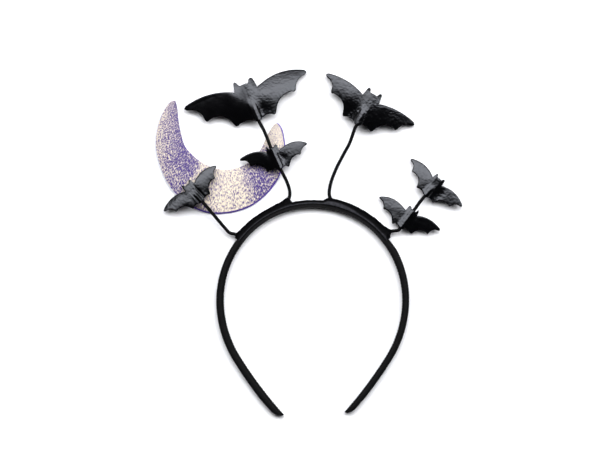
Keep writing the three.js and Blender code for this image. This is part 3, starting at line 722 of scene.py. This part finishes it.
def make_wrap():
    """Rings round the folded ribbon, out along its outer line and back along its inner one, with creases
    that run across the ribbon and fade at its front edge and under the band."""
    along = np.linspace(WRAP_ROWS[0, 0], WRAP_ROWS[-1, 0], WRAP_STATIONS)
    out, up = wrap_line(along, 0)
    inner_out, inner_up = wrap_line(along, RIBBON)
    share = np.linspace(0, 1, out.shape[1])
    place = np.stack(np.broadcast_arrays(along[:, None], share * RIBBON_ROUND), axis=-1)
    crease = sum(height * ripples(place * (1, pace), pitch, seed) for height, pitch, pace, seed in CREASES)
    crease = crease * np.sin(np.pi * np.clip(share * CREASE_NARROW, 0, 1))
    outer = beside_band(along[:, None], out + crease * CREASE_OUT, up + crease)
    inner = beside_band(along[:, None], inner_out + crease * CREASE_OUT, inner_up + crease)
    rings = np.concatenate([outer, inner[:, ::-1]], axis=1)
    around = np.concatenate([share, share[::-1], share[:1]]) * RIBBON_ROUND
    # Painted highlight: a pale strip along the front edge, wider in places, that fades out across the
    # ribbon.
    width = np.interp(along, EDGE_HIGHLIGHT_ROWS[:, 0], EDGE_HIGHLIGHT_ROWS[:, 1])[:, None]
    painted_edge_highlight = 1 - smooth_step(share * RIBBON_ROUND - width, -EDGE_HIGHLIGHT_FADE, EDGE_HIGHLIGHT_FADE)
    marks = {"painted_edge_highlight": np.concatenate([painted_edge_highlight, painted_edge_highlight[:, ::-1]], axis=1)}
    return make_skin("ribbon_wrap", rings, surface_uv(along, around), marks)


def ribbon_finish():
    """Black ribbon: close ribs across it, dull, with an uneven pale line painted along its front edge as a
    highlight.
    """
    ribbon = Finish("black_ribbon")
    height, uneven = ribbon.weave(ribs=0.0006, threads=0.0005, slant=0.0, wander=1.2)
    # Painted highlight along the front edge, made uneven by noise and mixed towards the pale grey below.
    painted_edge_highlight = ribbon.math("MULTIPLY", ribbon.mark("painted_edge_highlight"), uneven)
    cloth = ribbon.mix(height, (0.0006, 0.0006, 0.0008, 1), (0.0016, 0.0016, 0.002, 1))
    ribbon.shade(Base_Color=ribbon.mix(painted_edge_highlight, cloth, (0.058, 0.058, 0.066, 1)),
                 Roughness=ribbon.math("MULTIPLY_ADD", uneven, 0.25, 0.3),
                 Normal=ribbon.bump(height, 0.00004, 0.7), Specular_IOR_Level=0.015)
    return ribbon.material


wrap = make_wrap()
wrap.data.materials.append(ribbon_finish())
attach(wrap, "root")
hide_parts("crown_wrap")

# Moon
# One crescent cut from thick sheet with a crinkled foil face, on which violet and cream grains mix.
# It lies behind the small left and small centre bats, and its cut edge shows as a violet line.
MOON_MIDDLE = np.array([-67.9, 113.3])
# Turn from +Y towards -X, radius of the inner edge, radius of the outer edge.
MOON_ROWS = np.array([
    (44.5, 45.6, 47.6), (48, 41.6, 49), (56, 36.4, 49), (70, 30.2, 48.2), (90, 25.2, 47.2),
    (115, 19.6, 46.6), (138, 17, 48), (170, 16.4, 49.3), (205, 18.5, 49.2), (237, 23.6, 48.8),
    (263, 29.3, 47.9), (284, 36.3, 47.3), (290.5, 41.1, 46.1), (292, 43.4, 45.2),
])
MOON_SHEET = 2.0
MOON_DOME = 0.8
MOON_POINTS = 60
MOON_SPACING = 0.5
# Depth and width of the rounding at the cut edge.
MOON_CUT = 0.7
# Height of the crinkles, their pitch, seed, and the distance from the edge at which they are full.
CRINKLES = ((0.10, 2.6, 51), (0.07, 1.5, 52))
CRINKLE_WAVES = 11
CRINKLE_FULL = 2.0


def moon_edge(radius):
    """One edge of the crescent as a smooth line through its rows."""
    turn = np.radians(MOON_ROWS[:, 0])
    rows = MOON_MIDDLE + radius[:, None] * np.stack([-np.sin(turn), np.cos(turn)], axis=-1)
    return smooth_path(np.pad(rows, ((0, 0), (0, 1))), MOON_SPACING)[0][:, :2]


def spread(edge, places):
    """An edge drawn again at shares of its points from its first to its last."""
    own = np.linspace(0, 1, len(edge))
    return np.stack([np.interp(places, own, edge[:, axis]) for axis in (0, 1)], axis=-1)


def make_moon():
    """Rings round chords from the inner to the outer edge. The face is domed and crinkled in short
    ridges, and it rounds off at the cut. Also the sheet's flat size and area."""
    inner, outer = moon_edge(MOON_ROWS[:, 1]), moon_edge(MOON_ROWS[:, 2])
    count = max(len(inner), len(outer))
    places = np.linspace(0, 1, count)
    inner = spread(inner, places)
    outer = spread(outer, places)
    share = (1 - np.cos(np.linspace(0, np.pi, MOON_POINTS))) / 2
    flat = inner[:, None] + share[:, None] * (outer - inner)[:, None]
    dome = MOON_DOME * (1 - (2 * share - 1) ** 2) * np.ones((count, 1))
    width = np.linalg.norm(outer - inner, axis=1)[:, None]
    to_edge = width * np.minimum(share, 1 - share)
    crinkle = sum(height * ripples(flat, pitch, seed, CRINKLE_WAVES) for height, pitch, seed in CRINKLES)
    crinkle = crinkle * smooth_step(to_edge, 0, CRINKLE_FULL)
    high = MOON_SHEET + dome + crinkle - MOON_CUT * np.exp(-(to_edge / MOON_CUT) ** 2)
    upper = np.concatenate([flat, high[..., None]], axis=-1)
    lower = np.concatenate([flat, dome[..., None]], axis=-1)[:, ::-1]
    share_along = np.broadcast_to(places[:, None], flat.shape[:2])
    face_uv = np.stack([share_along, np.broadcast_to(share, flat.shape[:2])], axis=-1)
    uv = np.concatenate([face_uv, face_uv[:, ::-1], face_uv[:, :1]], axis=1)
    rim = np.concatenate([to_edge, np.zeros_like(to_edge)], axis=1)
    piece = make_skin("foil_moon", np.concatenate([upper, lower], axis=1), uv, {"rim": rim})
    return piece, *flat_measures(np.concatenate([inner, outer[::-1]]))


def foil_finish():
    """Crinkled foil: violet and cream grains about a millimetre wide, drawn out across the crescent. How
    much of each shows changes along it and in patches, and on the left there is more cream towards the
    outer edge. The outer cut edge is pearly on the left and violet below."""
    foil = Finish("crinkled_foil")
    parts = foil.parts(foil.surface())
    along, across = parts["X"], parts["Y"]
    stretch = {"Vector": foil.surface(), "Scale": (200.0, 17.0, 1.0)}
    drawn_out = foil.add("ShaderNodeMapping", stretch).outputs["Vector"]
    drift = foil.noise(0.12, 2.0, 0.6, drawn_out)
    shifted = foil.math("MULTIPLY_ADD", drift, 0.06, foil.math("SUBTRACT", along, 0.03))
    zones = foil.add("ShaderNodeValToRGB", {"Fac": shifted})
    stops = (
        (0.0, 0.3), (0.06, 0.34), (0.16, 0.34), (0.26, 0.24), (0.33, 0.13), (0.39, 0.13), (0.41, 0.64),
        (0.43, 0.62), (0.47, 0.5), (0.52, 0.66), (0.58, 0.8), (0.63, 0.72), (0.695, 0.2), (0.75, 0.1),
        (0.8, 0.34), (0.88, 0.66), (0.96, 0.7),
    )
    elements = zones.color_ramp.elements
    for element, (position, level) in zip(elements, (stops[0], stops[-1])):
        element.position = position
        element.color = (level, level, level, 1)
    for position, level in stops[1:-1]:
        elements.new(position).color = (level, level, level, 1)
    grains = foil.noise(0.95, 2.5, 0.65, drawn_out)
    patches = foil.noise(0.13, 2.0, 0.6, drawn_out)
    level = foil.math("ADD", zones.outputs["Color"], foil.math("MULTIPLY_ADD", patches, 0.8, -0.42))
    fade = {"Value": along, "From Min": 0.38, "From Max": 0.3}
    on_left = foil.add("ShaderNodeMapRange", fade).outputs["Result"]
    outwards = foil.math("MULTIPLY", foil.math("MULTIPLY_ADD", across, 0.5, -0.25), on_left)
    level = foil.math("ADD", level, outwards)
    cream = foil.math("ADD", level, foil.math("MULTIPLY_ADD", grains, 4.4, -2.2))
    cream = foil.add("ShaderNodeClamp", {"Value": cream}).outputs["Result"]
    face = foil.mix(cream, (0.06, 0.036, 0.18, 1), (0.76, 0.67, 0.52, 1))
    outer = foil.math("GREATER_THAN", across, 0.5)
    below = foil.math("GREATER_THAN", along, 0.43)
    edge = foil.mix(below, (0.72, 0.72, 0.78, 1), (0.09, 0.05, 0.3, 1))
    at_edge = foil.math("MULTIPLY", foil.math("LESS_THAN", foil.mark("rim"), 1.0), outer)
    foil.shade(Base_Color=foil.mix(at_edge, face, edge),
               Roughness=foil.math("MULTIPLY_ADD", grains, 0.3, 0.25),
               Normal=foil.bump(grains, 0.0002, 0.5), Specular_IOR_Level=0.25)
    return foil.material


moon, flat_size, flat_area = make_moon()
moon.data.materials.append(foil_finish())
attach(moon, "root")
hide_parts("moon")

# Table, light and camera
# The headband lies on a plain white table. One wide soft light stands beyond the bats, the room is bright
# near the horizon and dark overhead, and the camera looks straight down. Table and light are in metres.
TABLE_SIZE = 6.0
LIGHT_DISTANCE = 1.5
LIGHT_ANGLE = np.radians(30)
LIGHT_TURN = np.radians(8)
LIGHT_WIDTH = 3.4
# Depth of a light along its tilt, and its power for each square metre.
LIGHT_LAYERS = ((1.3, 8.5), (0.8, 8.5), (0.4, 8.0))
LAYER_GAP = 0.03
LIGHT_COLOUR = (0.985, 0.99, 1.02)
PHOTO_WIDTH = 600
MM_PER_PIXEL = 0.72603
VIEW_MIDDLE = np.array([-9.438, 46.466])
VIEW_HEIGHT = 5.0
LENS = 135.0


def make_table():
    """One large flat square under the headband."""
    half = TABLE_SIZE / 2
    mesh = bpy.data.meshes.new("table")
    corners = [(-half, -half, 0), (half, -half, 0), (half, half, 0), (-half, half, 0)]
    mesh.from_pydata(corners, [], [(0, 1, 2, 3)])
    table = bpy.data.objects.new("table", mesh)
    bpy.context.scene.collection.objects.link(table)
    paint = Finish("white_table")
    paint.shade(Base_Color=(0.96, 0.96, 0.965, 1), Roughness=0.7, Specular_IOR_Level=0.2)
    mesh.materials.append(paint.material)
    return table


def make_light():
    """A soft box beyond the bats, turned towards the headband and hidden from the camera. Lights of less
    and less depth lie behind one another, so that it is brightest along its middle."""
    beyond = np.sin(LIGHT_ANGLE)
    towards = np.array([beyond * np.sin(LIGHT_TURN), beyond * np.cos(LIGHT_TURN), np.cos(LIGHT_ANGLE)])
    for layer, (depth, power) in enumerate(LIGHT_LAYERS):
        lamp = bpy.data.lights.new("soft_box", "AREA")
        lamp.shape = "RECTANGLE"
        lamp.size, lamp.size_y = LIGHT_WIDTH, depth
        lamp.energy = power * LIGHT_WIDTH * depth
        lamp.color = LIGHT_COLOUR
        light = bpy.data.objects.new("soft_box", lamp)
        light.location = (LIGHT_DISTANCE + LAYER_GAP * layer) * towards
        light.rotation_euler = (-LIGHT_ANGLE, 0, -LIGHT_TURN)
        light.visible_camera = False
        bpy.context.scene.collection.objects.link(light)


def make_room():
    """Light from all round, which is bright near the horizon and fades towards straight up."""
    world = bpy.data.worlds.new("room")
    world.use_nodes = True
    room = Nodes(world.node_tree)
    direction = room.add("ShaderNodeTexCoord").outputs["Generated"]
    fade = {"Value": room.parts(direction)["Z"], "From Min": 0.0, "From Max": 0.5,
            "To Min": 0.3, "To Max": 0.0}
    strength = room.add("ShaderNodeMapRange", fade).outputs["Result"]
    room.put(room.tree.nodes["Background"].inputs["Strength"], strength)
    bpy.context.scene.world = world


def make_camera():
    """A long lens straight above the middle of the picture, as far up as the picture's width needs."""
    view = bpy.data.cameras.new("camera")
    view.lens = LENS
    camera = bpy.data.objects.new("camera", view)
    middle = (np.append(VIEW_MIDDLE, VIEW_HEIGHT) - FRAME_ORIGIN) * MM
    distance = PHOTO_WIDTH * MM_PER_PIXEL * MM * LENS / view.sensor_width
    camera.location = middle + (0, 0, distance)
    bpy.context.scene.collection.objects.link(camera)
    bpy.context.scene.camera = camera


make_table()
make_light()
make_room()
make_camera()
bpy.context.scene.view_settings.view_transform = "Standard"
